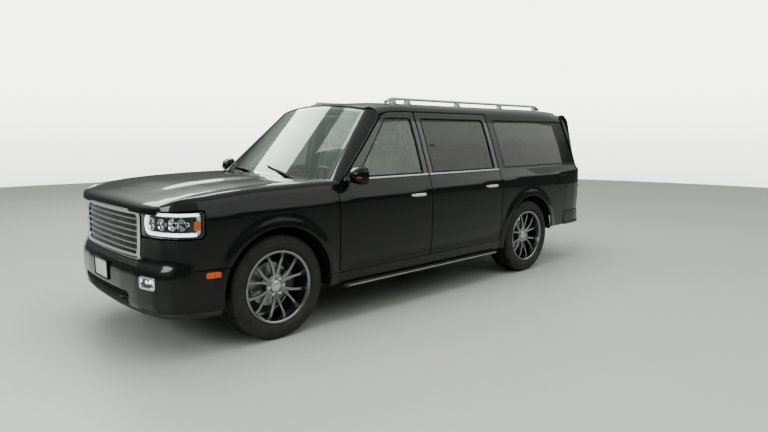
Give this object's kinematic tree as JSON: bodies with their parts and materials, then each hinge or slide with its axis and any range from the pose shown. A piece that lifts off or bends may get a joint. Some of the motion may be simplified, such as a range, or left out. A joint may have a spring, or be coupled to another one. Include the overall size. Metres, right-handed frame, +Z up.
{
  "type": "sport utility vehicle",
  "caption": "Long-wheelbase closed estate body on a ladder frame with opening side doors, hood and liftgate, steering front wheels and freely turning wheels.",
  "frame": {"origin": "on the ground under the middle of the overall length, on the centre plane", "axes": "+X ahead, +Y to the vehicle's left, +Z up"},
  "size_m": [5.744, 2.39, 1.94],
  "materials": {
    "paint": "gloss black clear coat",
    "glass": "green tint, clear",
    "privacy_glass": "dark tint",
    "black_plastic": "fine grain",
    "frame_steel": "satin chassis paint",
    "bright_trim": "polished",
    "lamp_lens": "clear lens",
    "red_lens": "red lens",
    "seat_leather": "grained",
    "cast_metal": "as cast",
    "core_metal": "bare",
    "alloy": "machined and lacquered",
    "tyre_rubber": "matt"
  },
  "bodies": {
    "body": {"front_frame": "frame_steel", "mid_frame": "frame_steel", "rear_frame": "frame_steel", "floor_pan": "frame_steel", "firewall": "frame_steel", "body_sides": "paint", "roof": "paint", "roof_rails": "bright_trim", "front_fenders": "paint", "windscreen": "glass", "quarter_glass": "privacy_glass", "front_bumper": "paint", "rear_bumper": "paint", "grille": "bright_trim", "headlamps": "lamp_lens", "taillamps": "red_lens", "fog_lamps": "lamp_lens", "plate_brackets": "black_plastic", "running_boards": "black_plastic", "dashboard": "black_plastic", "steering_wheel": "black_plastic", "front_seats": "seat_leather", "rear_seats": "seat_leather", "engine": "cast_metal", "radiator": "core_metal", "fuel_tank": "black_plastic", "exhaust": "core_metal", "front_suspension": "frame_steel", "rear_axle": "frame_steel"},
    "steering_rod": {"tie_rods": "core_metal"},
    "left_carrier": {"left_knuckle": "frame_steel"},
    "right_carrier": {"right_knuckle": "frame_steel"},
    "front_left_wheel": {"front_left_rim": "alloy", "front_left_tyre": "tyre_rubber"},
    "front_right_wheel": {"front_right_rim": "alloy", "front_right_tyre": "tyre_rubber"},
    "rear_left_wheel": {"rear_left_rim": "alloy", "rear_left_tyre": "tyre_rubber"},
    "rear_right_wheel": {"rear_right_rim": "alloy", "rear_right_tyre": "tyre_rubber"},
    "front_left_door": {"front_left_door": "paint", "front_left_glass": "glass"},
    "front_right_door": {"front_right_door": "paint", "front_right_glass": "glass"},
    "rear_left_door": {"rear_left_door": "paint", "rear_left_glass": "privacy_glass"},
    "rear_right_door": {"rear_right_door": "paint", "rear_right_glass": "privacy_glass"},
    "hood": {"hood": "paint"},
    "tailgate": {"liftgate": "paint", "liftgate_glass": "privacy_glass"}
  },
  "joints": [
    {"name": "left_steer", "type": "hinge", "parent": "body", "child": "left_carrier", "pos_m": [1.88, 0.77, 0.415], "axis": [0, 0, 1], "range_deg": [-35, 35]},
    {"name": "right_steer", "type": "hinge", "parent": "body", "child": "right_carrier", "pos_m": [1.88, -0.77, 0.415], "axis": [0, 0, 1], "range_deg": [-35, 35]},
    {"name": "rod_slide", "type": "slide", "parent": "body", "child": "steering_rod", "axis": [0, -1, 0], "range_m": [-0.081, 0.081]},
    {"name": "front_left_spin", "type": "hinge", "parent": "left_carrier", "child": "front_left_wheel", "pos_m": [1.88, 0.86, 0.415], "axis": [0, 1, 0], "continuous": true},
    {"name": "rear_left_spin", "type": "hinge", "parent": "body", "child": "rear_left_wheel", "pos_m": [-1.49, 0.86, 0.415], "axis": [0, 1, 0], "continuous": true},
    {"name": "front_right_spin", "type": "hinge", "parent": "right_carrier", "child": "front_right_wheel", "pos_m": [1.88, -0.86, 0.415], "axis": [0, 1, 0], "continuous": true},
    {"name": "rear_right_spin", "type": "hinge", "parent": "body", "child": "rear_right_wheel", "pos_m": [-1.49, -0.86, 0.415], "axis": [0, 1, 0], "continuous": true},
    {"name": "front_left_door_hinge", "type": "hinge", "parent": "body", "child": "front_left_door", "pos_m": [1.26, 1.015, 0.8], "axis": [0, 0, -1], "range_deg": [0, 68]},
    {"name": "rear_left_door_hinge", "type": "hinge", "parent": "body", "child": "rear_left_door", "pos_m": [0.136, 1.015, 0.8], "axis": [0, 0, -1], "range_deg": [0, 68]},
    {"name": "front_right_door_hinge", "type": "hinge", "parent": "body", "child": "front_right_door", "pos_m": [1.26, -1.015, 0.8], "axis": [0, 0, 1], "range_deg": [0, 68]},
    {"name": "rear_right_door_hinge", "type": "hinge", "parent": "body", "child": "rear_right_door", "pos_m": [0.136, -1.015, 0.8], "axis": [0, 0, 1], "range_deg": [0, 68]},
    {"name": "hood_hinge", "type": "hinge", "parent": "body", "child": "hood", "pos_m": [1.6, 0, 1.225], "axis": [0, -1, 0], "range_deg": [0, 52]},
    {"name": "tailgate_hinge", "type": "hinge", "parent": "body", "child": "tailgate", "pos_m": [-2.52, 0, 1.87], "axis": [0, 1, 0], "range_deg": [0, 84]}
  ],
  "couplings": [
    {"joint": "right_steer", "follows": "left_steer", "ratio": 1},
    {"joint": "rod_slide", "follows": "left_steer", "m_per_rad": 0.1315}
  ]
}
